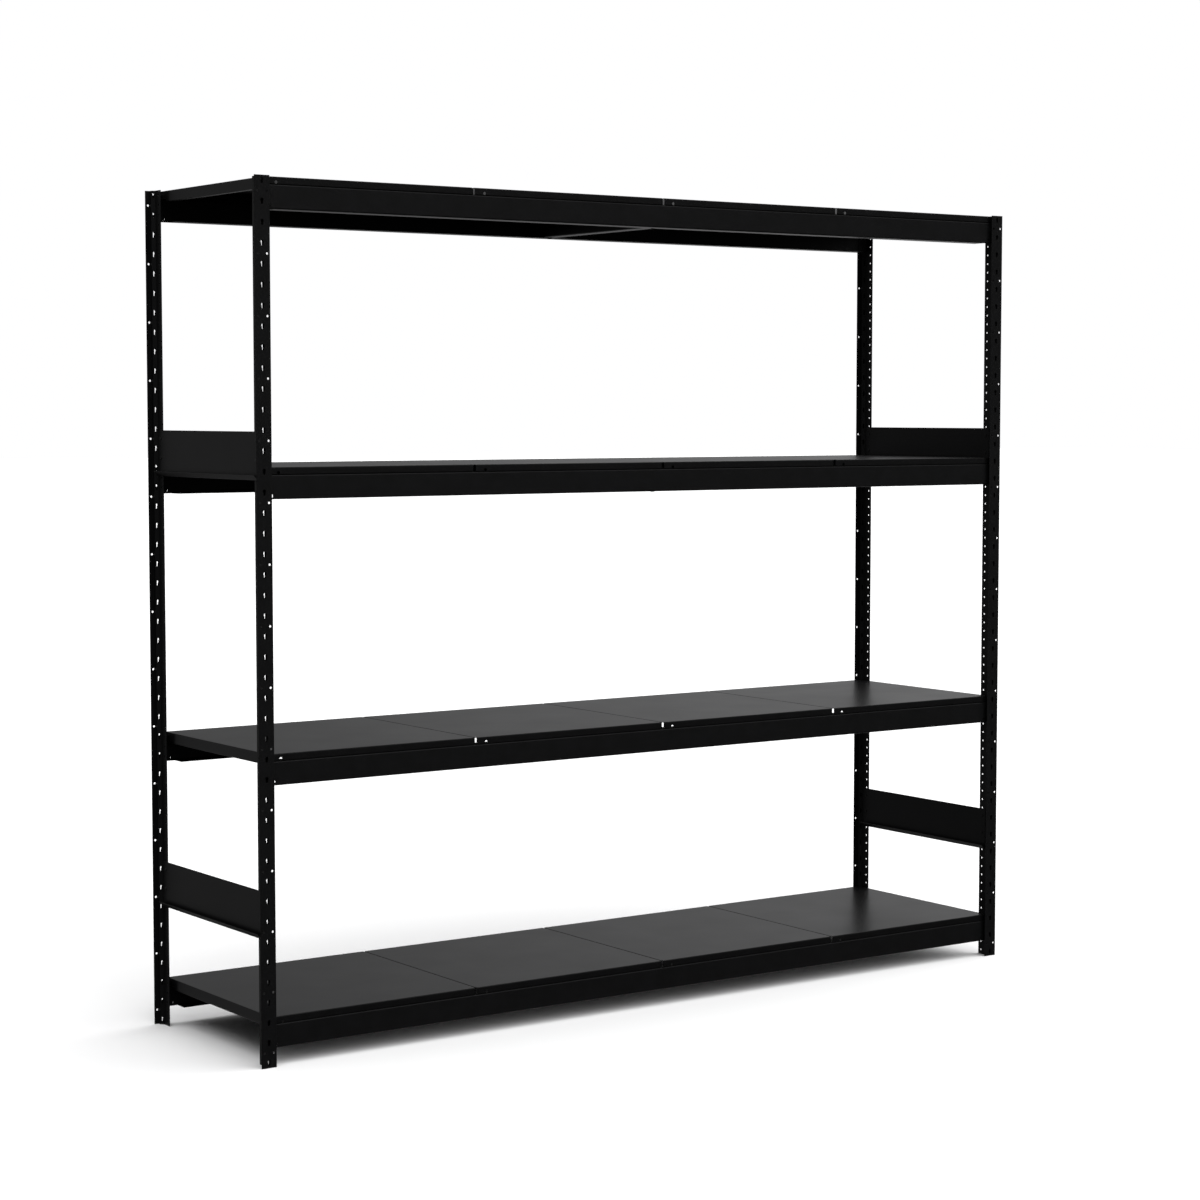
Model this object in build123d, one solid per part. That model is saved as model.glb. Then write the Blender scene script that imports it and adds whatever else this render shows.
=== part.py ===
# Boltless steel shelving: four T-posts, hook-in beams, lift-off deck panels, end braces.
# Millimetres, +Z up, front towards -Y.  The origin is on the floor at the centre of the plan.
from build123d import *
import os
from math import atan2, sqrt, tan

# ---- overall ----
post_height = 2209.8        # 87 in
post_spacing = 2438.4       # 96 in, post centre line to centre line
frame_depth = 609.6         # outer face of the front posts to outer face of the rear posts

# ---- T-post section, from the middle of the flange's outer face, y inwards ----
flange_width = 42.4
flange_thick = 1.8          # two layers, hemmed at the edges
sheet = 0.9
rib_half = 9.0              # hollow rib behind the flange
rib_straight = 12.0         # depth at which the rib's walls turn in to the web
web_half = 0.9              # two layers back to back
web_start = rib_straight + rib_half - web_half
web_end = 50.0
post_bend = 0.8

# ---- perforations in the posts ----
pitch = 50.8                # keyhole pitch, 2 in
first_keyhole = 12.7
keyhole_count = 44
keyhole_height = 15.0
keyhole_top_radius = 4.4
keyhole_low_radius = 3.0
rib_slot_width = 3.6        # slot in each slanted rib wall, behind every keyhole
rib_slot_x = 4.3
round_hole_radius = 3.0
round_hole_x = 13.0
round_hole_first = 38.1
round_hole_pitch = 152.4
web_hole_radius = 2.8
web_hole_y = 38.9
web_hole_pitch = 25.4
punch_past = 2.0            # how far each punching tool runs past the metal

# ---- levels, named from the floor up, with the keyhole that each upper hook is in ----
levels = {"bottom": 2, "lower": 15, "upper": 29, "top": 43}
deck_above_hook = 11.0      # deck surface above the middle of the upper hook's keyhole

# ---- beams ----
face_y = 10.5               # beam face and deck lip, behind the posts' outer face
beam_sheet = 1.6
beam_height = 60.3
beam_top_flange = 43.0
beam_low_flange = 42.0
beam_bend = 2.6
beam_start = 11.0           # beam end, from the post's centre line
low_flange_cutback = 30.0
low_flange_stub = 1.0       # what the cut-back leaves of the low flange, behind the face's sheet
end_hole = (7.0, 9.6)       # width and height
end_hole_x = 25.9
end_hole_up = 8.4           # above the beam's bottom

# ---- hook plates at the beam ends ----
plate_sheet = 1.5
plate_gap = 0.4             # off the rib's slanted wall
plate_reach = 27.5
plate_inset = 2.4           # clear of the beam's bends, above and below
plate_tip_x = 3.4
hook_width = 2.4
hook_height = 8.0
hook_reach = 11.0
hook_along = 4.3            # from the rib's corner to the hooks' middle, along x and along y
hook_rise = 1.4             # hook's top edge, above the middle of its keyhole
leaf_rise = 2.0             # slanted leaf's top edge, above the middle of the upper keyhole

# ---- deck panels, four to a level ----
panel_pitch = 605.6
panel_gap = 2.0
panels_per_level = 4
deck_offset_x = 3.3         # the row of panels sits a little to the right of centre
panel_sheet = 1.2
panel_height = 19.05
panel_bend = 2.4
panel_return = 12.0
side_lip = 28.6             # depth of the side lips between the beams
side_lip_start = 45.0       # clear of the beams' flanges
seam_notch = (3.2, 6.0)     # corner notch, across and deep
post_notch = (7.0, 10.0)
lip_hole_radius = 4.2
lip_hole_x = 32.7
lip_hole_down = 13.4

# ---- centre tie bars ----
tie_width = 40.0
tie_height = 56.4
tie_sheet = 1.5
tie_bend = 2.2
tie_clear = 2.2             # off the beams' faces, clear of their bends
tie_tab = (12.0, 4.2)       # width and drop of the tab behind each beam's low flange

# ---- end braces ----
brace_sheet = 1.5
brace_height = 121.0
brace_lip = (14.0, 12.4)    # out and up from the fold
pressed_lip = (16.0, 3.0)   # flatter, to clear the side lip of the deck panel above it
pressed_brace = ("right", "upper")
brace_bend = 2.2
brace_bottoms = {"lower": 320.0, "upper": 1463.0}
brace_start_y = 24.0        # from the posts' outer face
brace_hole_ups = (48.3, 99.1)
rivet_head_radius = 4.4
rivet_head_thick = 1.4
rivet_head_round = 0.9
rivet_shank_clear = 0.05


def punch(outline, near, far):
    """A tool with an (x, z) outline that clears the metal from y = near to y = far."""
    length = far - near + 2 * punch_past
    return Pos(0, far + punch_past, 0) * extrude(Plane.XZ * outline, length)


def post_solid():
    """One T-post standing at the origin, its flange's outer face on y = 0, web towards +y."""
    half = flange_width / 2
    outer = [(half, 0), (half, flange_thick), (rib_half, flange_thick), (rib_half, rib_straight),
             (web_half, web_start), (web_half, web_end)]
    outline = Polyline(*outer, *[(-x, y) for x, y in reversed(outer)], close=True)
    section = make_face(outline)
    section = fillet(section.vertices(), post_bend)
    inner = rib_half - sheet
    slant = rib_half + rib_straight - sheet * sqrt(2)
    hollow = [(inner, sheet), (inner, slant - inner), (0, slant), (-inner, slant - inner), (-inner, sheet)]
    section -= make_face(Polyline(*hollow, close=True))
    post = extrude(section, post_height)

    drop = keyhole_height / 2
    keyhole = Pos(0, drop - keyhole_top_radius) * Circle(keyhole_top_radius)
    keyhole += Pos(0, keyhole_low_radius - drop) * Circle(keyhole_low_radius)
    keyhole += Rectangle(2 * keyhole_low_radius, keyhole_height - keyhole_top_radius - keyhole_low_radius)
    keyhole_tool = punch(keyhole, 0, sheet)
    slot_tool = punch(SlotOverall(keyhole_height, rib_slot_width, 90), rib_straight / 2, web_start)
    round_tool = punch(Circle(round_hole_radius), 0, flange_thick)
    web_tool = Rot(0, 90, 0) * Cylinder(web_hole_radius, 2 * (web_half + punch_past))

    tools = []
    for k in range(keyhole_count):
        z = first_keyhole + k * pitch
        tools.append(Pos(0, 0, z) * keyhole_tool)
        tools += [Pos(side * rib_slot_x, 0, z) * slot_tool for side in (-1, 1)]
    z = round_hole_first
    while z < post_height:
        tools += [Pos(side * round_hole_x, 0, z) * round_tool for side in (-1, 1)]
        z += round_hole_pitch
    z = first_keyhole
    while z < post_height:
        tools.append(Pos(0, web_hole_y, z) * web_tool)
        z += web_hole_pitch
    return post - tools


def deck_top(level):
    return first_keyhole + levels[level] * pitch + deck_above_hook


def beam_bottom(level):
    return deck_top(level) - panel_height - beam_height


def bent_sheet(points, bend, thickness):
    """A section of folded sheet whose middle line follows the points."""
    return trace(FilletPolyline(*points, radius=bend), thickness)


def beam_leaves():
    """A front beam centred on x = 0, bottom on z = 0, as its face and the two flanges behind it."""
    length = post_spacing - 2 * beam_start
    mid = beam_sheet / 2
    front = face_y + mid
    points = [(face_y + beam_low_flange, mid), (front, mid),
              (front, beam_height - mid), (face_y + beam_top_flange, beam_height - mid)]
    section = bent_sheet(points, beam_bend, beam_sheet)
    beam = Pos(-length / 2, 0, 0) * extrude(Plane.YZ * section, length)
    for side in (-1, 1):
        end_x = side * length / 2
        cut = Box(2 * low_flange_cutback, beam_low_flange, 4 * beam_sheet)
        cut_y = face_y + beam_sheet + low_flange_stub + beam_low_flange / 2
        beam -= Pos(end_x, cut_y, 0) * cut
        hole = punch(SlotOverall(end_hole[1], end_hole[0], 90), face_y, face_y + beam_sheet)
        hole_x = side * (post_spacing / 2 - end_hole_x)
        beam -= Pos(hole_x, 0, end_hole_up) * hole
    behind_bends = Plane.XZ.offset(-face_y - mid - beam_bend)
    return split(beam, bisect_by=behind_bends, keep=Keep.BOTH).solids()


def hook_plate_solid(level):
    """The folded plate at the left end of a front beam, with its two hooks in the post's slots."""
    slant = rib_half + rib_straight
    near = slant + plate_gap * sqrt(2)
    far = near + plate_sheet * sqrt(2)
    back = face_y + beam_sheet
    step = plate_sheet / sqrt(2)
    fold = (near - back, back)
    inner_fold = (far - back - plate_sheet, back + plate_sheet)
    tip = (plate_tip_x, near - plate_tip_x)
    slanted = [fold, tip, (tip[0] + step, tip[1] + step), inner_fold]
    foot = [fold, (plate_reach, back), (plate_reach, back + plate_sheet), inner_fold]
    low = beam_bottom(level) + beam_sheet + plate_inset
    beam_inside = deck_top(level) - panel_height - beam_sheet - plate_inset
    hook_zs = [first_keyhole + k * pitch for k in (levels[level] - 1, levels[level])]
    leaf_height = hook_zs[1] + leaf_rise - low
    plate = extrude(make_face(Polyline(*slanted, close=True)), leaf_height)
    plate += extrude(make_face(Polyline(*foot, close=True)), beam_inside - low)
    plate = Pos(0, 0, low) * plate
    hook_x = rib_half - hook_along
    hook_y = rib_straight + hook_along
    hook = Box(hook_reach + plate_gap, hook_width, hook_height)
    centre = (plate_gap - hook_reach) / 2 / sqrt(2)
    for z in hook_zs:
        middle = z + hook_rise - hook_height / 2
        plate += Pos(hook_x + centre, hook_y + centre, middle) * Rot(0, 0, 45) * hook
    return plate


def deck_panel_solid(index):
    """Panel number index (0 is the left one), its top on z = 0 and its left edge on x = 0."""
    width = panel_pitch - panel_gap
    depth = frame_depth - 2 * face_y
    low = Align.MIN
    anchor = (low, low, Align.MAX)
    pan = Box(width, depth, panel_height, align=anchor)
    pan = fillet(pan.faces().sort_by(Axis.Z)[-1].edges(), panel_bend)
    room = Box(width - 2 * panel_sheet, depth - 2 * panel_sheet, panel_height - 2 * panel_sheet, align=anchor)
    room = fillet(room.faces().sort_by(Axis.Z)[-1].edges(), panel_bend - panel_sheet)
    pan -= Pos(panel_sheet, panel_sheet, -panel_sheet) * room
    mouth = Box(width - 2 * panel_sheet, depth - 2 * panel_return, panel_height, align=anchor)
    pan -= Pos(panel_sheet, panel_return, -2 * panel_sheet) * mouth
    run = depth - 2 * side_lip_start
    lip = Box(panel_sheet, run, side_lip - panel_bend, align=(low, low, low))
    lip += Box(panel_return, run, panel_sheet, align=(low, low, low))
    left_lip = Pos(0, side_lip_start, -side_lip) * lip
    pan += left_lip
    pan += Pos(width, 0, 0) * mirror(left_lip, Plane.YZ)
    for right in (False, True):
        outer = index == (panels_per_level - 1 if right else 0)
        across, deep = post_notch if outer else seam_notch
        for rear in (False, True):
            notch = Box(2 * across, 2 * deep, 3 * panel_height)
            pan -= Pos(width if right else 0, depth if rear else 0, 0) * notch
    lip_hole = Rot(90, 0, 0) * Cylinder(lip_hole_radius, 2 * (panel_sheet + punch_past))
    pan -= Pos(lip_hole_x, 0, -lip_hole_down) * lip_hole
    pan -= Pos(width - lip_hole_x, depth, -lip_hole_down) * lip_hole
    return pan


def tie_bar_solid():
    """A centre tie bar, open upwards, standing on the beams' low flanges: its bottom is z = 0."""
    mid = tie_sheet / 2
    half = tie_width / 2 - mid
    start = face_y + beam_sheet + tie_clear
    length = frame_depth - 2 * start
    points = [(-half, tie_height), (-half, mid), (half, mid), (half, tie_height)]
    section = bent_sheet(points, tie_bend, tie_sheet)
    bar = Pos(0, length / 2, 0) * extrude(Plane.XZ * section, length)
    tab = Box(tie_tab[0], tie_sheet, tie_tab[1] + tie_sheet, align=(Align.CENTER, Align.CENTER, Align.MAX))
    tab_y = frame_depth / 2 - face_y - beam_low_flange - tie_sheet
    for side in (-1, 1):
        bar += Pos(0, side * tab_y, tie_sheet) * tab
    return bar


def brace_solid(lip_out, lip_up):
    """An end brace against the -x side of a post's web; z = 0 is its bottom, x = 0 the web's middle."""
    mid = brace_sheet / 2
    plate_x = -web_half - mid
    fold = mid + brace_bend - brace_bend / tan(atan2(lip_out, lip_up) / 2)
    points = [(plate_x - lip_out, lip_up + mid), (plate_x, fold), (plate_x, brace_height)]
    section = bent_sheet(points, brace_bend, brace_sheet)
    length = frame_depth - 2 * brace_start_y
    brace = Pos(0, length / 2, 0) * extrude(Plane.XZ * section, length)
    hole = Rot(0, 90, 0) * Cylinder(web_hole_radius, 2 * (brace_sheet + punch_past))
    for y, z in rivet_places():
        brace -= Pos(plate_x, y, z) * hole
    return brace


def rivet_places():
    y = frame_depth / 2 - web_hole_y
    return [(side * y, up) for side in (-1, 1) for up in brace_hole_ups]


def rivet_solid():
    """A button-head rivet along x through the brace and the web."""
    left = -web_half - brace_sheet
    right = web_half
    shank = Cylinder(web_hole_radius - rivet_shank_clear, right - left)
    head = Cylinder(rivet_head_radius, rivet_head_thick)
    head = fillet(head.faces().sort_by(Axis.Z)[-1].edges(), rivet_head_round)
    reach = (right - left + rivet_head_thick) / 2
    rivet = shank + Pos(0, 0, reach) * head + Pos(0, 0, -reach) * Rot(180, 0, 0) * head
    return Pos((left + right) / 2, 0, 0) * Rot(0, 90, 0) * rivet


def save(shape, node):
    export_step(shape, f"parts/{node}.step")


def group(solids):
    return Compound(children=[Solid(s.solids()[0].wrapped) for s in solids])


os.makedirs("parts", exist_ok=True)
half_width = post_spacing / 2
half_depth = frame_depth / 2
turns = {"front": 0, "rear": 180}
sides = {"left": -1, "right": 1}

post = post_solid()
for row, turn in turns.items():
    for side, sign in sides.items():
        y = -half_depth if row == "front" else half_depth
        save(Pos(sign * half_width, y, 0) * Rot(0, 0, turn) * post, f"post_{row}_{side}")

leaves = beam_leaves()
for level in levels:
    left_plate = Pos(-half_width, 0, 0) * hook_plate_solid(level)
    plates = [left_plate, mirror(left_plate, Plane.YZ)]
    for row, turn in turns.items():
        spin = Rot(0, 0, turn)
        place = spin * Pos(0, -half_depth, beam_bottom(level))
        save(group([place * leaf for leaf in leaves]), f"beam_{level}_{row}")
        save(group([spin * Pos(0, -half_depth, 0) * plate for plate in plates]), f"hook_plates_{level}_{row}")

tie_bar = tie_bar_solid()
for level in levels:
    save(Pos(0, 0, beam_bottom(level) + beam_sheet) * tie_bar, f"tie_bar_{level}")

first_edge = deck_offset_x - panels_per_level / 2 * panel_pitch + panel_gap / 2
for index in range(panels_per_level):
    panel = deck_panel_solid(index)
    for level in levels:
        place = Pos(first_edge + index * panel_pitch, face_y - half_depth, deck_top(level))
        save(place * panel, f"deck_panel_{level}_{index + 1}")

rivet = rivet_solid()
for side, sign in sides.items():
    for height, z in brace_bottoms.items():
        place = Pos(sign * half_width, 0, z)
        lip = pressed_lip if (side, height) == pressed_brace else brace_lip
        save(place * brace_solid(*lip), f"side_brace_{side}_{height}")
        rivets = [place * Pos(0, y, up) * rivet for y, up in rivet_places()]
        save(group(rivets), f"brace_rivets_{side}_{height}")
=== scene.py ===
import math
import bmesh
import bpy
from mathutils import Matrix, Vector


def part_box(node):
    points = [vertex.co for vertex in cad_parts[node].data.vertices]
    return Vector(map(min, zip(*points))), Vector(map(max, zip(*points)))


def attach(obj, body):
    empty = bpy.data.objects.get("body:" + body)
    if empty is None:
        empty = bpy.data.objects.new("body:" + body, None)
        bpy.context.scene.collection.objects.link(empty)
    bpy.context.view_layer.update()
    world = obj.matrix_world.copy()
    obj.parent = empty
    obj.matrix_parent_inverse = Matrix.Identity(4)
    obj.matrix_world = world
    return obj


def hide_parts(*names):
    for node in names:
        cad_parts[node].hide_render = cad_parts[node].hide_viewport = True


# Boltless steel shelving in satin black powder coat.
# Lengths are in millimetres in the dictionaries, and in metres once they reach a mesh.

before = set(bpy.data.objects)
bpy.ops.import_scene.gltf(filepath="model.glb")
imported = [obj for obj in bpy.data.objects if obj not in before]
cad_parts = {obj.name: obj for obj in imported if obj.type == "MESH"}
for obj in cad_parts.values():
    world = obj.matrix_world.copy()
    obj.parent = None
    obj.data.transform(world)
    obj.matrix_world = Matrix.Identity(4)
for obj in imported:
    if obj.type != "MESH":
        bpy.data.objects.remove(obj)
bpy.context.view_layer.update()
mm = 0.001
levels = ("bottom", "lower", "upper", "top")
rows = ("front", "rear")
sides = ("left", "right")
turned = {"front": Matrix.Identity(4), "rear": Matrix.Rotation(math.pi, 4, "Z")}


# finishes
# tone: linear grey, shine: roughness, peel and depth: grain and height of the orange peel in mm
coats = {
    "postCoat": dict(tone=0.0036, shine=0.42, peel=1.3, depth=0.030, slot="post_coat"),
    "beamCoat": dict(tone=0.0040, shine=0.40, peel=1.5, depth=0.034, slot="beam_coat"),
    "deckCoat": dict(tone=0.0032, shine=0.33, peel=1.8, depth=0.026, slot="deck_coat"),
    "braceCoat": dict(tone=0.0040, shine=0.40, peel=1.4, depth=0.030, slot="brace_coat"),
    "tieBarCoat": dict(tone=0.0040, shine=0.42, peel=1.4, depth=0.030, slot="tie_bar_coat"),
    "hookPlateCoat": dict(tone=0.0036, shine=0.45, peel=1.1, depth=0.030, slot="hook_plate_coat"),
    "rivetCoat": dict(tone=0.0050, shine=0.33, peel=0.8, depth=0.020, slot="rivet_coat"),
}

# what all the coats share: grains in mm, and how far each one shifts the tone or the roughness
powder = dict(cloudGrain=140, cloudShift=0.012, dustGrain=35, dustRange=(0.35, 0.65),
              dark=(0.88, 0.88, 0.90), light=(1.10, 1.10, 1.16), noiseRange=(0.3, 0.7), bump=0.35, ior=1.5)


# the sprayed and baked coat: a fine orange peel, cloudy gloss, a little dust in the tone
def powderCoat(name, tone, shine, peel, depth, slot):
    material = bpy.data.materials.new(name)
    material.use_nodes = True
    tree = material.node_tree
    link = tree.links.new
    shader = tree.nodes["Principled BSDF"]
    shader.inputs["IOR"].default_value = powder["ior"]
    shader.inputs["Coat Weight"].default_value = 0.0
    place = tree.nodes.new("ShaderNodeTexCoord")

    def noise(size, detail):
        node = tree.nodes.new("ShaderNodeTexNoise")
        node.inputs["Scale"].default_value = 1 / (size * mm)
        node.inputs["Detail"].default_value = detail
        link(place.outputs["Object"], node.inputs["Vector"])
        return node

    clouds = noise(powder["cloudGrain"], 3.0)
    gloss = tree.nodes.new("ShaderNodeMapRange")
    gloss.inputs["From Min"].default_value, gloss.inputs["From Max"].default_value = powder["noiseRange"]
    gloss.inputs["To Min"].default_value = shine - powder["cloudShift"]
    gloss.inputs["To Max"].default_value = shine + powder["cloudShift"]
    link(clouds.outputs["Fac"], gloss.inputs["Value"])
    link(gloss.outputs["Result"], shader.inputs["Roughness"])
    tint = tree.nodes.new("ShaderNodeValToRGB")
    shades = (powder["dark"], powder["light"])
    for stop, spot, shade in zip(tint.color_ramp.elements, powder["dustRange"], shades):
        stop.position = spot
        stop.color = (*(tone * part for part in shade), 1)
    dust = noise(powder["dustGrain"], 4.0)
    link(dust.outputs["Fac"], tint.inputs["Fac"])
    link(tint.outputs["Color"], shader.inputs["Base Color"])
    grain = noise(peel, 2.0)
    bump = tree.nodes.new("ShaderNodeBump")
    bump.inputs["Strength"].default_value = powder["bump"]
    bump.inputs["Distance"].default_value = depth * mm
    link(grain.outputs["Fac"], bump.inputs["Height"])
    link(bump.outputs["Normal"], shader.inputs["Normal"])
    return material


finish = {name: powderCoat(name, **look) for name, look in coats.items()}
print("stage: powder coat mixed")


# sheet-metal helpers
def meshObject(name, mesh):
    piece = bpy.data.objects.new(name, mesh)
    bpy.context.scene.collection.objects.link(piece)
    return piece


# a finished bmesh as a new piece; the bmesh is freed
def pieceFrom(mesh, name):
    data = bpy.data.meshes.new(name)
    mesh.to_mesh(data)
    mesh.free()
    return meshObject(name, data)


# applies every modifier and leaves the piece without any
def bake(piece):
    graph = bpy.context.evaluated_depsgraph_get()
    mesh = bpy.data.meshes.new_from_object(piece.evaluated_get(graph))
    piece.modifiers.clear()
    piece.data = mesh
    return piece


# the polyline with each inner corner turned into an arc
def roundedPath(points, radius, steps=6):
    path = [Vector(points[0])]
    for before, corner, after in zip(points, points[1:], points[2:]):
        before, corner, after = Vector(before), Vector(corner), Vector(after)
        inward, outward = (before - corner).normalized(), (after - corner).normalized()
        half = inward.angle(outward) / 2
        back = radius / math.tan(half)
        middle = corner + (inward + outward).normalized() * (radius / math.sin(half))
        start, end = corner + inward * back - middle, corner + outward * back - middle
        sweep = start.angle_signed(end)
        for i in range(steps + 1):
            turn = -sweep * i / steps
            c, s = math.cos(turn), math.sin(turn)
            path.append(middle + Vector((start.x * c - start.y * s, start.x * s + start.y * c)))
    path.append(Vector(points[-1]))
    return path


# the closed outline of a folded sheet whose middle line follows the points
def sheetSection(points, bend, sheet, steps=6):
    path = roundedPath(points, bend, steps)
    left, right = [], []
    for i, here in enumerate(path):
        ahead = path[min(i + 1, len(path) - 1)] - here
        behind = here - path[max(i - 1, 0)]
        along = (ahead.normalized() if ahead.length else Vector((0, 0)))
        along += (behind.normalized() if behind.length else Vector((0, 0)))
        along.normalize()
        normal = Vector((-along.y, along.x)) * sheet / 2
        left.append(here + normal)
        right.append(here - normal)
    return left + right[::-1]


# a closed bar with the 2-D outline in mm; place turns (u, v, distance) in mm into a point in mm
def extrusion(name, outline, place, length):
    mesh = bmesh.new()
    first = [mesh.verts.new(Vector(place(p[0], p[1], 0)) * mm) for p in outline]
    last = [mesh.verts.new(Vector(place(p[0], p[1], length)) * mm) for p in outline]
    count = len(outline)
    for i in range(count):
        j = (i + 1) % count
        mesh.faces.new((first[i], first[j], last[j], last[i]))
    mesh.faces.new(first[::-1])
    mesh.faces.new(last)
    bmesh.ops.recalc_face_normals(mesh, faces=mesh.faces)
    return pieceFrom(mesh, name)


# takes the cutter away from the piece and removes the cutter
def cutWith(piece, cutter):
    modifier = piece.modifiers.new("punch", "BOOLEAN")
    modifier.operation = "DIFFERENCE"
    modifier.solver = "EXACT"
    modifier.object = cutter
    bake(piece)
    bpy.data.objects.remove(cutter)
    return piece


# adds a box between two corners in mm
def boxMesh(mesh, low, high):
    low, high = Vector(low) * mm, Vector(high) * mm
    size = high - low
    place = Matrix.Translation((low + high) / 2) @ Matrix.Diagonal((*size, 1))
    bmesh.ops.create_cube(mesh, size=1, matrix=place)


# adds a round rod about a centre in mm, along "X" or "Y"
def roundMesh(mesh, centre, radius, length, axis, steps=28):
    turn = Matrix.Rotation(math.pi / 2, 4, {"X": "Y", "Y": "X"}[axis])
    place = Matrix.Translation(Vector(centre) * mm) @ turn
    bmesh.ops.create_cone(mesh, cap_ends=True, segments=steps, radius1=radius * mm,
                          radius2=radius * mm, depth=length * mm, matrix=place)


# smooth shading over bends, with the cut edges kept sharp
def soften(piece, angle=32):
    for face in piece.data.polygons:
        face.use_smooth = True
    piece.data.set_sharp_from_angle(angle=math.radians(angle))
    weighted = piece.modifiers.new("evenShading", "WEIGHTED_NORMAL")
    weighted.keep_sharp = True
    weighted.weight = 100
    bake(piece)


# breaks the cut edges a little, as punching and tumbling leave them
def easeEdges(piece, width):
    modifier = piece.modifiers.new("ease", "BEVEL")
    modifier.width = width * mm
    modifier.segments = 1
    modifier.limit_method = "ANGLE"
    modifier.angle_limit = math.radians(50)
    modifier.use_clamp_overlap = True
    return bake(piece)


# a copy of the piece whose place is in its mesh
def copied(source, name, transform):
    mesh = source.data.copy()
    mesh.name = name
    mesh.transform(transform)
    return meshObject(name, mesh)


# gives a finished piece its coat, its body and the CAD nodes that it stands for
def fit(piece, coat, body, *nodes):
    piece.data.materials.clear()
    piece.data.materials.append(finish[coat])
    soften(piece)
    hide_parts(*nodes)
    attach(piece, body)
    return piece


# geometry nodes
# a geometry tree with named inputs; sockets maps a name to (socket type, default)
def newTree(name, sockets):
    tree = bpy.data.node_groups.new(name, "GeometryNodeTree")
    tree.interface.new_socket("Geometry", in_out="INPUT", socket_type="NodeSocketGeometry")
    tree.interface.new_socket("Geometry", in_out="OUTPUT", socket_type="NodeSocketGeometry")
    for label, (kind, value) in sockets.items():
        socket = tree.interface.new_socket(label, in_out="INPUT", socket_type=kind)
        if value is not None:
            socket.default_value = value
    return tree


# runs the tree once on the piece, with its inputs set by identifier, and keeps the result
def runTree(piece, tree, values):
    modifier = piece.modifiers.new(tree.name, "NODES")
    modifier.node_group = tree
    for item in tree.interface.items_tree:
        if item.in_out == "INPUT" and item.name in values:
            modifier[item.identifier] = values[item.name]
    return bake(piece)


# repeats the incoming shape in a row: an offset, a step and a count, and nothing else
def repeatTree():
    tree = newTree("repeatInRow", {
        "First": ("NodeSocketVector", (0, 0, 0)),
        "Step": ("NodeSocketVector", (0, 0, 0.0508)),
        "Count": ("NodeSocketInt", 10),
        "Coat": ("NodeSocketMaterial", None),
    })
    link = tree.links.new
    source = tree.nodes.new("NodeGroupInput")
    out = tree.nodes.new("NodeGroupOutput")
    line = tree.nodes.new("GeometryNodeMeshLine")
    line.mode = "OFFSET"
    line.count_mode = "TOTAL"
    link(source.outputs["Count"], line.inputs["Count"])
    link(source.outputs["First"], line.inputs["Start Location"])
    link(source.outputs["Step"], line.inputs["Offset"])
    stamp = tree.nodes.new("GeometryNodeInstanceOnPoints")
    link(line.outputs["Mesh"], stamp.inputs["Points"])
    link(source.outputs["Geometry"], stamp.inputs["Instance"])
    real = tree.nodes.new("GeometryNodeRealizeInstances")
    link(stamp.outputs["Instances"], real.inputs["Geometry"])
    coat = tree.nodes.new("GeometryNodeSetMaterial")
    link(real.outputs["Geometry"], coat.inputs["Geometry"])
    link(source.outputs["Coat"], coat.inputs["Material"])
    link(coat.outputs["Geometry"], out.inputs["Geometry"])
    return tree


rowTree = repeatTree()


# a row of copies of the piece; first and step are in mm
def repeated(piece, first, step, count, coat="postCoat"):
    values = {"First": [a * mm for a in first], "Step": [a * mm for a in step],
              "Count": count, "Coat": finish[coat]}
    return runTree(piece, rowTree, values)


# T-posts
postShape = dict(
    flange=42.4, flangeThick=1.8, sheet=0.9, ribHalf=9.0, ribDepth=12.0, webHalf=0.9, webEnd=50.0, bend=0.8,
    pitch=50.8, firstKeyhole=12.7, keyholes=44, keyholeHeight=15.0, topRadius=4.4, lowRadius=3.0,
    slotWidth=3.6, slotX=4.3, roundRadius=3.0, roundX=13.0, firstRound=38.1, roundPitch=152.4, rounds=15,
    webRadius=2.8, webY=38.9, webPitch=25.4, webHoles=87, seamDepth=0.5, seamHalf=0.12,
    # where each punch starts and ends along y, how long the rods are, and how far cuts run past the ends
    keyholeCut=(-2, 5), slotCut=(6, 24), roundCut=12, webCut=8, past=5)


def arc(centre, radius, start, end, steps):
    points = []
    for i in range(steps + 1):
        angle = math.radians(start + (end - start) * i / steps)
        points.append((centre[0] + radius * math.cos(angle), centre[1] + radius * math.sin(angle)))
    return points


# a round top that drops into a narrower slot, as (x, z) in mm about its middle
def keyholeOutline():
    s = postShape
    half = s["keyholeHeight"] / 2
    top = half - s["topRadius"]
    low = s["lowRadius"] - half
    meet = math.degrees(math.asin(s["lowRadius"] / s["topRadius"]))
    crown = arc((0, top), s["topRadius"], meet - 90, 270 - meet, 18)
    return crown + arc((0, low), s["lowRadius"], 180, 360, 10)


def slotOutline():
    s = postShape
    radius = s["slotWidth"] / 2
    half = s["keyholeHeight"] / 2 - radius
    return arc((0, half), radius, 0, 180, 8) + arc((0, -half), radius, 180, 360, 8)


# half the section, then its mirror: flange, hollow rib and double web, with every corner bent
def postSection():
    s = postShape
    half = s["flange"] / 2
    webStart = s["ribDepth"] + s["ribHalf"] - s["webHalf"]
    corners = [(half, 0), (half, s["flangeThick"]), (s["ribHalf"], s["flangeThick"]),
               (s["ribHalf"], s["ribDepth"]), (s["webHalf"], webStart), (s["webHalf"], s["webEnd"])]
    ring = [(0, 0)] + corners + [(-x, y) for x, y in reversed(corners)] + [(0, 0)]
    path = roundedPath(ring, s["bend"], 3)
    return path[:-1]


def ribHollow():
    s = postShape
    inner = s["ribHalf"] - s["sheet"]
    slant = s["ribHalf"] + s["ribDepth"] - s["sheet"] * math.sqrt(2)
    side = [(inner, s["sheet"]), (inner, slant - inner)]
    return side + [(0, slant)] + [(-x, y) for x, y in reversed(side)]


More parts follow.
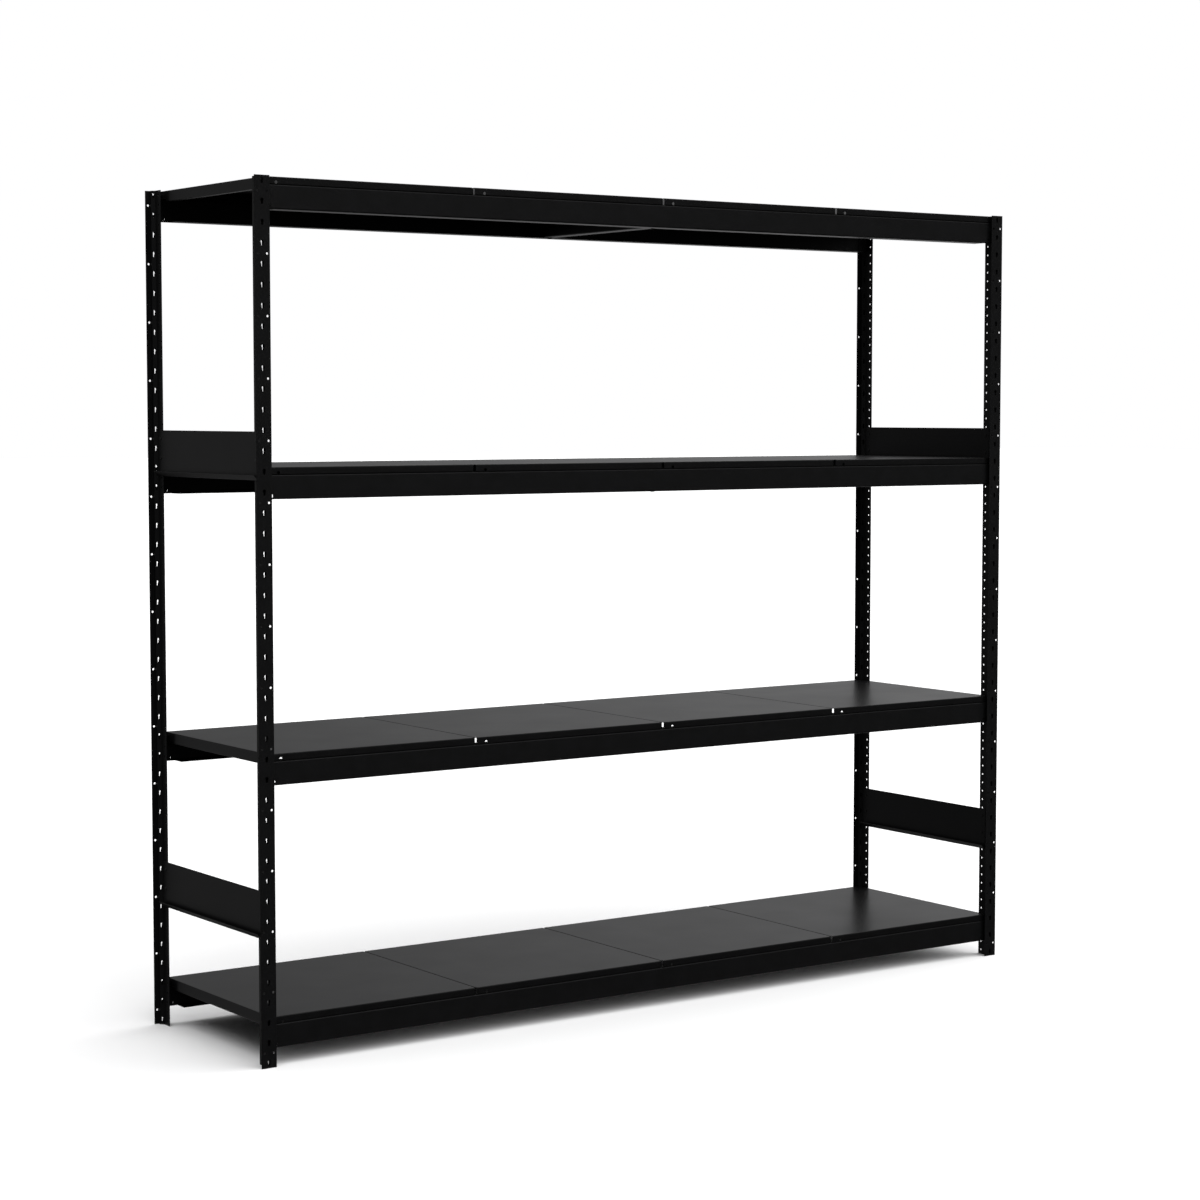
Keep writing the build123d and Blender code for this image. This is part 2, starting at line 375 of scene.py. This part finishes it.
# one punch along y with an (x, z) outline
def punched(outline, nearY, farY, x=0.0):
    return extrusion("punch", outline, lambda u, v, d: (u + x, nearY + d, v), farY - nearY)


def rodPunch(centre, radius, length, axis):
    mesh = bmesh.new()
    roundMesh(mesh, centre, radius, length, axis, 20)
    return pieceFrom(mesh, "punch")


# one post, flange face on y = 0, standing on z = 0 at x = 0
def makePost():
    s = postShape
    height = (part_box("post_front_left")[1].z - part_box("post_front_left")[0].z) / mm
    post = extrusion("tPost", postSection(), lambda u, v, d: (u, v, d), height)
    reach = height + 2 * s["past"]
    cutWith(post, extrusion("hollow", ribHollow(), lambda u, v, d: (u, v, d - s["past"]), reach))
    pitch = (0, 0, s["pitch"])
    first = (0, 0, s["firstKeyhole"])
    cutWith(post, repeated(punched(keyholeOutline(), *s["keyholeCut"]), first, pitch, s["keyholes"]))
    for side in (-1, 1):
        slot = punched(slotOutline(), *s["slotCut"], side * s["slotX"])
        cutWith(post, repeated(slot, first, pitch, s["keyholes"]))
        hole = rodPunch((side * s["roundX"], 0, 0), s["roundRadius"], s["roundCut"], "Y")
        cutWith(post, repeated(hole, (0, 0, s["firstRound"]), (0, 0, s["roundPitch"]), s["rounds"]))
    hole = rodPunch((0, s["webY"], 0), s["webRadius"], s["webCut"], "X")
    cutWith(post, repeated(hole, first, (0, 0, s["webPitch"]), s["webHoles"]))
    groove = bmesh.new()
    boxMesh(groove, (-s["seamHalf"], s["webEnd"] - s["seamDepth"], -s["past"]),
            (s["seamHalf"], s["webEnd"] + 1, height + s["past"]))
    cutWith(post, pieceFrom(groove, "groove"))
    return post


postMaster = makePost()
for row in rows:
    for side in sides:
        node = f"post_{row}_{side}"
        low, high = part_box(node)
        outerY = low.y if row == "front" else high.y
        spot = Matrix.Translation(((low.x + high.x) / 2, outerY, low.z)) @ turned[row]
        fit(copied(postMaster, f"tPost_{row}_{side}", spot), "postCoat", "root", node)
bpy.data.objects.remove(postMaster)
print("stage: four T-posts punched")


# beams
beamShape = dict(sheet=1.6, height=60.3, topFlange=43.0, lowFlange=42.0, bend=2.6, cutback=30.0,
                 holeWidth=7.0, holeHeight=9.6, holeUp=8.4, holeIn=14.9, holeCut=(-3, 5),
                 stub=1.0, past=5, ease=0.25, bendSteps=8)


# a front beam centred on x = 0, face on y = 0, bottom on z = 0
def makeBeam():
    s = beamShape
    low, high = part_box("beam_bottom_front")
    length = (high.x - low.x) / mm
    mid = s["sheet"] / 2
    points = [(s["lowFlange"], mid), (mid, mid), (mid, s["height"] - mid),
              (s["topFlange"], s["height"] - mid)]
    outline = sheetSection(points, s["bend"], s["sheet"], s["bendSteps"])
    beam = extrusion("beam", outline, lambda u, v, d: (d - length / 2, u, v), length)
    cuts = bmesh.new()
    for side in (-1, 1):
        edges = sorted((side * (length / 2 + s["past"]), side * (length / 2 - s["cutback"])))
        boxMesh(cuts, (edges[0], s["sheet"] + s["stub"], -2), (edges[1], s["lowFlange"] + s["past"], 4))
    cutWith(beam, pieceFrom(cuts, "cutback"))
    radius = s["holeWidth"] / 2
    rise = s["holeHeight"] / 2 - radius
    outline = arc((0, rise), radius, 0, 180, 10) + arc((0, -rise), radius, 180, 360, 10)
    hole = punched(outline, *s["holeCut"], s["holeIn"] - length / 2)
    hole.data.transform(Matrix.Translation((0, 0, s["holeUp"] * mm)))
    cutWith(beam, repeated(hole, (0, 0, 0), (length - 2 * s["holeIn"], 0, 0), 2))
    return easeEdges(beam, s["ease"])


beamMaster = makeBeam()
for level in levels:
    for row in rows:
        node = f"beam_{level}_{row}"
        low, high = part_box(node)
        faceY = low.y if row == "front" else high.y
        spot = Matrix.Translation(((low.x + high.x) / 2, faceY, low.z)) @ turned[row]
        fit(copied(beamMaster, f"channelBeam_{level}_{row}", spot), "beamCoat", "root", node)
bpy.data.objects.remove(beamMaster)
print("stage: eight channel beams folded")


# deck panels
panelShape = dict(sheet=1.2, lip=19.05, bend=2.4, returnLip=12.0, seamNotch=(3.2, 6.0), postNotch=(7.0, 10.0),
                  sideLip=28.6, sideLipStart=45.0, holeRadius=4.2, holeX=32.7, holeDown=13.4, holeCut=8,
                  perLevel=4, ease=0.2, merge=0.02)


# from the flat top, round the bend, down the lip and back under: (inward, up) in mm from the outer top edge
def lipPath():
    s = panelShape
    flat = (s["bend"], 0)
    points = [flat, (0, 0), (0, -s["lip"]), (s["returnLip"], -s["lip"])]
    path = roundedPath([(s["bend"] + 1, 0)] + points[1:], s["bend"], 6)
    return [p for p in path if p.x <= s["bend"] + 0.001 or p.y < -1]


# one folded lip between two outer corners (mm), as a strip of quads; a side lip is deeper amid its length
def addLip(mesh, start, end, inward, deepFrom=None):
    s = panelShape
    path = lipPath()
    bendEnd = next(i for i, p in enumerate(path) if p.x < 0.001)
    start, end, inward = Vector((*start, 0)), Vector((*end, 0)), Vector((*inward, 0))
    stops = [start, end]
    if deepFrom:
        along = (end - start).normalized()
        stops = [start, start + along * deepFrom, end - along * deepFrom, end]

    def column(stop, rows):
        return [mesh.verts.new((stop + inward * p.x + Vector((0, 0, p.y))) * mm) for p in rows]

    def strip(first, last):
        for i in range(len(first) - 1):
            mesh.faces.new((first[i], first[i + 1], last[i + 1], last[i]))

    if not deepFrom:
        strip(column(start, path), column(end, path))
        return
    upper = path[:bendEnd + 1] + [Vector((0, -s["lip"]))]
    columns = [column(stop, upper) for stop in stops]
    for pair in zip(columns, columns[1:]):
        strip(*pair)
    drop = Vector((0, s["lip"] - s["sideLip"]))
    deep = [Vector((0, -s["lip"]))] + [p + drop for p in path[bendEnd + 1:]]
    strip(column(stops[1], deep), column(stops[2], deep))


# a deck panel with its top on z = 0 and its front left corner at the origin
def makePanel(width, depth, leftNotch, rightNotch):
    s = panelShape
    b = s["bend"]
    lx, ly = leftNotch
    rx, ry = rightNotch
    mesh = bmesh.new()
    addLip(mesh, (lx, 0), (width - rx, 0), (0, 1))
    addLip(mesh, (width - rx, depth), (lx, depth), (0, -1))
    addLip(mesh, (0, depth - ly), (0, ly), (1, 0), s["sideLipStart"] - ly)
    addLip(mesh, (width, ry), (width, depth - ry), (-1, 0), s["sideLipStart"] - ry)
    near = s["sideLipStart"]
    far = depth - near
    top = [(lx, b), (width - rx, b), (width - rx, ry), (width - b, ry), (width - b, near), (width - b, far),
           (width - b, depth - ry), (width - rx, depth - ry), (width - rx, depth - b), (lx, depth - b),
           (lx, depth - ly), (b, depth - ly), (b, far), (b, near), (b, ly), (lx, ly)]
    mesh.faces.new([mesh.verts.new(Vector((x, y, 0)) * mm) for x, y in top])
    bmesh.ops.remove_doubles(mesh, verts=mesh.verts, dist=s["merge"] * mm)
    bmesh.ops.recalc_face_normals(mesh, faces=mesh.faces)
    flat = max(mesh.faces, key=lambda face: face.calc_area())
    if flat.normal.z < 0:
        bmesh.ops.reverse_faces(mesh, faces=mesh.faces)
    panel = pieceFrom(mesh, "deckPanel")
    wall = panel.modifiers.new("wall", "SOLIDIFY")
    wall.thickness = s["sheet"] * mm
    wall.offset = -1
    wall.use_even_offset = True
    bake(panel)
    punches = bmesh.new()
    roundMesh(punches, (s["holeX"], 0, -s["holeDown"]), s["holeRadius"], s["holeCut"], "Y")
    roundMesh(punches, (width - s["holeX"], depth, -s["holeDown"]), s["holeRadius"], s["holeCut"], "Y")
    cutWith(panel, pieceFrom(punches, "lipHoles"))
    return easeEdges(panel, s["ease"])


low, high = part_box("deck_panel_bottom_1")
panelSize = ((high.x - low.x) / mm, (high.y - low.y) / mm)
for number in range(1, panelShape["perLevel"] + 1):
    leftNotch = panelShape["postNotch" if number == 1 else "seamNotch"]
    rightNotch = panelShape["postNotch" if number == panelShape["perLevel"] else "seamNotch"]
    panelMaster = makePanel(*panelSize, leftNotch, rightNotch)
    for level in levels:
        node = f"deck_panel_{level}_{number}"
        low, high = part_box(node)
        spot = Matrix.Translation((low.x, low.y, high.z))
        piece = copied(panelMaster, f"deckPanel_{level}_{number}", spot)
        fit(piece, "deckCoat", f"panel_{level}_{number}_body", node)
    bpy.data.objects.remove(panelMaster)
print("stage: sixteen deck panels pressed")


# centre tie bars
tieShape = dict(sheet=1.5, width=40.0, height=56.4, bend=2.2, ease=0.2,
                tabWidth=12.0, tabRoot=6.0, tabBend=1.6)


# a U channel along y, bottom on z = 0, with a tab at each end behind the beam's low flange
def makeTieBar():
    s = tieShape
    low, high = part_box("tie_bar_bottom")
    length = (high.y - low.y) / mm
    drop = (high.z - low.z) / mm - s["height"]
    mid = s["sheet"] / 2
    half = s["width"] / 2 - mid
    points = [(-half, s["height"]), (-half, mid), (half, mid), (half, s["height"])]
    outline = sheetSection(points, s["bend"], s["sheet"], 6)
    bar = extrusion("tieBar", outline, lambda u, v, d: (u, d - length / 2, v), length)
    return easeEdges(bar, s["ease"]), length, drop


# a short bent tab, rounded where it leaves the bar
def makeTab(width, sheet, drop):
    points = [(-tieShape["tabRoot"], sheet / 2), (0, sheet / 2), (0, -drop)]
    outline = sheetSection(points, tieShape["tabBend"], sheet, 5)
    return extrusion("tab", outline, lambda u, v, d: (d - width / 2, u, v), width)


tieMaster, tieLength, tieDrop = makeTieBar()
for level in levels:
    node = f"tie_bar_{level}"
    low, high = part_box(node)
    bottom = low.z + tieDrop * mm
    bar = copied(tieMaster, f"tieBar_{level}", Matrix.Translation((0, (low.y + high.y) / 2, bottom)))
    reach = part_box(f"beam_{level}_front")[0].y + (beamShape["lowFlange"] + tieShape["sheet"]) * mm
    for facing in (1, -1):
        tab = makeTab(tieShape["tabWidth"], tieShape["sheet"], tieDrop)
        turn = Matrix.Rotation(0 if facing < 0 else math.pi, 4, "Z")
        tab.data.transform(Matrix.Translation((0, facing * reach, bottom)) @ turn)
        mesh = bmesh.new()
        mesh.from_mesh(bar.data)
        mesh.from_mesh(tab.data)
        mesh.to_mesh(bar.data)
        mesh.free()
        bpy.data.objects.remove(tab)
    fit(bar, "tieBarCoat", "root", node)
bpy.data.objects.remove(tieMaster)
print("stage: four tie bars")


# end braces and their rivets
braceShape = dict(sheet=1.5, lip=(14.0, 12.4), pressedLip=(16.0, 3.0), height=121.0, bend=2.2,
                  holeRadius=2.8, webHalf=0.9,
                  fromEnd=14.9, ups=(48.3, 99.1), headRadius=4.4, headThick=1.4, dome=0.9,
                  domeSteps=6, rivetSides=28, shankClear=0.05, ease=0.25, bendSteps=8)


# a flat plate with its low edge folded towards -x and up; x = 0 is the middle of the posts' webs
def makeBrace(lipOut, lipUp):
    s = braceShape
    low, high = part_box("side_brace_left_lower")
    length = (high.y - low.y) / mm
    mid = s["sheet"] / 2
    plateX = -s["webHalf"] - mid
    fold = mid + s["bend"] - s["bend"] / math.tan(math.atan2(lipOut, lipUp) / 2)
    points = [(plateX - lipOut, lipUp + mid), (plateX, fold), (plateX, s["height"])]
    outline = sheetSection(points, s["bend"], s["sheet"], s["bendSteps"])
    brace = extrusion("brace", outline, lambda u, v, d: (u, d - length / 2, v), length)
    return easeEdges(brace, s["ease"]), length


# a button-head rivet along x, turned from its half outline
def makeRivet():
    s = braceShape
    left, right = -s["webHalf"] - s["sheet"], s["webHalf"]
    mesh = bmesh.new()
    outline = [(left - s["headThick"], 0.0)]
    for i in range(s["domeSteps"] + 1):
        angle = math.pi / 2 * i / s["domeSteps"]
        outline.append((left - s["headThick"] + s["dome"] * (1 - math.cos(angle)),
                        s["headRadius"] - s["dome"] * (1 - math.sin(angle))))
    outline += [(left, s["headRadius"]), (left, s["holeRadius"] - s["shankClear"])]
    middle = (left + right) / 2
    outline += [(2 * middle - x, r) for x, r in reversed(outline)]
    verts = [mesh.verts.new(Vector((x, 0, r)) * mm) for x, r in outline]
    edges = [mesh.edges.new(pair) for pair in zip(verts, verts[1:])]
    bmesh.ops.spin(mesh, geom=verts + edges, cent=(0, 0, 0), axis=(1, 0, 0), angle=math.tau,
                   steps=s["rivetSides"])
    bmesh.ops.remove_doubles(mesh, verts=mesh.verts, dist=0.01 * mm)
    bmesh.ops.recalc_face_normals(mesh, faces=mesh.faces)
    return pieceFrom(mesh, "rivet")


# the parts as one piece
def joined(name, parts):
    mesh = bmesh.new()
    for part in parts:
        mesh.from_mesh(part.data)
        bpy.data.objects.remove(part)
    return pieceFrom(mesh, name)


for side in sides:
    for height in ("lower", "upper"):
        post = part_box(f"post_front_{side}")
        low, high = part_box(f"side_brace_{side}_{height}")
        spot = Matrix.Translation(((post[0].x + post[1].x) / 2, (low.y + high.y) / 2, low.z))
        lip = braceShape["pressedLip" if (side, height) == ("right", "upper") else "lip"]
        brace, braceLength = makeBrace(*lip)
        brace.data.transform(spot)
        brace.name = f"endBrace_{side}_{height}"
        fit(brace, "braceCoat", "root", f"side_brace_{side}_{height}")
        span = braceLength / 2 - braceShape["fromEnd"]
        rivets = []
        for up in braceShape["ups"]:
            row = repeated(makeRivet(), (0, -span, up), (0, 2 * span, 0), 2, "rivetCoat")
            rivets.append(row)
        group = joined(f"braceRivets_{side}_{height}", rivets)
        group.data.transform(spot)
        fit(group, "rivetCoat", "root", f"brace_rivets_{side}_{height}")
print("stage: end braces riveted")


# hook plates keep their CAD shape
for level in levels:
    for row in rows:
        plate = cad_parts[f"hook_plates_{level}_{row}"]
        plate.data.materials.clear()
        plate.data.materials.append(finish["hookPlateCoat"])
print("stage: hook plates coated")


# floor, light and camera
studio = dict(
    floorSize=160.0, floorTone=0.80, floorMottle=1.01, mottleScale=0.8, floorRoughness=0.9,
    skyPower=4.6, skySpread=110.0, skyTilt=(26.0, 18.0),
    # radiance behind the shelf from the left (0) to the right (1)
    behind=((0.165, 0.06), (0.275, 0.20), (0.50, 0.22), (0.725, 0.34), (0.835, 0.81), (1.0, 0.83)),
    # its share higher up and below the horizon, then the radiance before the shelf and overhead
    risen=0.46, below=0.70, before=0.10, beneath=0.05, overhead=0.55,
    # the heights, or depths along y, over which one fades into the next
    risenFade=(0.0, 0.22), belowFade=(-0.16, 0.0), beforeFade=(-0.20, 0.25), beneathFade=(-0.30, 0.15),
    overheadFade=(0.35, 0.75), tint=(1, 1, 1.01, 1))


lens = dict(focal=81.07, place=(-4.3531, -6.2176, 1.6355), tilt=85.996, heading=-35.0)


def makeFloor():
    mesh = bmesh.new()
    bmesh.ops.create_grid(mesh, x_segments=1, y_segments=1, size=studio["floorSize"] / 2)
    floor = pieceFrom(mesh, "paleFloor")
    material = bpy.data.materials.new("paleFloorPaint")
    material.use_nodes = True
    tree = material.node_tree
    shader = tree.nodes["Principled BSDF"]
    shader.inputs["Roughness"].default_value = studio["floorRoughness"]
    shader.inputs["Specular IOR Level"].default_value = 0.0
    place = tree.nodes.new("ShaderNodeTexCoord")
    mottle = tree.nodes.new("ShaderNodeTexNoise")
    mottle.inputs["Scale"].default_value = studio["mottleScale"]
    ramp = tree.nodes.new("ShaderNodeValToRGB")
    tone = studio["floorTone"]
    for stop, shade in zip(ramp.color_ramp.elements, (tone, tone * studio["floorMottle"])):
        stop.color = (shade, shade, shade, 1)
    tree.links.new(place.outputs["Object"], mottle.inputs["Vector"])
    tree.links.new(mottle.outputs["Fac"], ramp.inputs["Fac"])
    tree.links.new(ramp.outputs["Color"], shader.inputs["Base Color"])
    floor.data.materials.append(material)
    floor.visible_glossy = False      # the coat mirrors the room, not the blown-out floor
    floor.visible_diffuse = False
    return floor


# a very soft light from above, the front and the right, which the coat doesn't mirror
def makeSky():
    lamp = bpy.data.lights.new("softSky", "SUN")
    lamp.energy = studio["skyPower"]
    lamp.angle = math.radians(studio["skySpread"])
    sky = bpy.data.objects.new("softSky", lamp)
    sky.rotation_euler = [math.radians(turn) for turn in (*studio["skyTilt"], 0)]
    sky.visible_glossy = False
    bpy.context.scene.collection.objects.link(sky)


# white to the eye; to the coat a dim room, brighter behind and to the right, darker low down
def makeWorld():
    world = bpy.data.worlds.new("studio")
    bpy.context.scene.world = world
    world.use_nodes = True
    tree = world.node_tree
    link = tree.links.new
    background = tree.nodes["Background"]
    place = tree.nodes.new("ShaderNodeTexCoord")
    split = tree.nodes.new("ShaderNodeSeparateXYZ")
    link(place.outputs["Generated"], split.inputs["Vector"])

    def ranged(source, low, high, start, end):
        node = tree.nodes.new("ShaderNodeMapRange")
        node.interpolation_type = "SMOOTHSTEP"
        for label, value in (("From Min", low), ("From Max", high), ("To Min", start), ("To Max", end)):
            node.inputs[label].default_value = value
        link(source, node.inputs["Value"])
        return node.outputs["Result"]

    def mixed(factor, first, second):
        node = tree.nodes.new("ShaderNodeMix")
        for label, value in (("Factor", factor), ("A", first), ("B", second)):
            if isinstance(value, float):
                node.inputs[label].default_value = value
            else:
                link(value, node.inputs[label])
        return node.outputs["Result"]

    across = tree.nodes.new("ShaderNodeMapRange")
    across.inputs["From Min"].default_value = -1
    link(split.outputs["X"], across.inputs["Value"])
    ramp = tree.nodes.new("ShaderNodeValToRGB")
    stops = ramp.color_ramp.elements
    for spot, glow in studio["behind"][2:]:
        stops.new(spot)
    for stop, (spot, glow) in zip(stops, studio["behind"]):
        stop.position = spot
        stop.color = (glow, glow, glow, 1)
    link(across.outputs["Result"], ramp.inputs["Fac"])
    def times(source, factor):
        node = tree.nodes.new("ShaderNodeMath")
        node.operation = "MULTIPLY"
        for socket, value in zip(node.inputs, (source, factor)):
            if isinstance(value, float):
                socket.default_value = value
            else:
                link(value, socket)
        return node.outputs["Value"]

    height = split.outputs["Z"]
    before = times(ranged(height, *studio["beneathFade"], studio["beneath"], 1.0), studio["before"])
    behind = times(ramp.outputs["Color"], ranged(height, *studio["risenFade"], 1.0, studio["risen"]))
    behind = times(behind, ranged(height, *studio["belowFade"], studio["below"], 1.0))
    room = mixed(ranged(split.outputs["Y"], *studio["beforeFade"], 0, 1), before, behind)
    room = mixed(ranged(height, *studio["overheadFade"], 0, 1), room, studio["overhead"])
    path = tree.nodes.new("ShaderNodeLightPath")
    link(mixed(path.outputs["Is Camera Ray"], room, 1.0), background.inputs["Strength"])
    background.inputs["Color"].default_value = studio["tint"]


def makeCamera():
    data = bpy.data.cameras.new("camera")
    data.lens = lens["focal"]
    data.sensor_width = 36
    data.clip_end = 400
    camera = bpy.data.objects.new("camera", data)
    camera.location = lens["place"]
    camera.rotation_euler = (math.radians(lens["tilt"]), 0, math.radians(lens["heading"]))
    bpy.context.scene.collection.objects.link(camera)
    bpy.context.scene.camera = camera


makeFloor()
makeSky()
makeWorld()
makeCamera()
bpy.context.scene.view_settings.view_transform = "Standard"
print("stage: floor, light and camera")
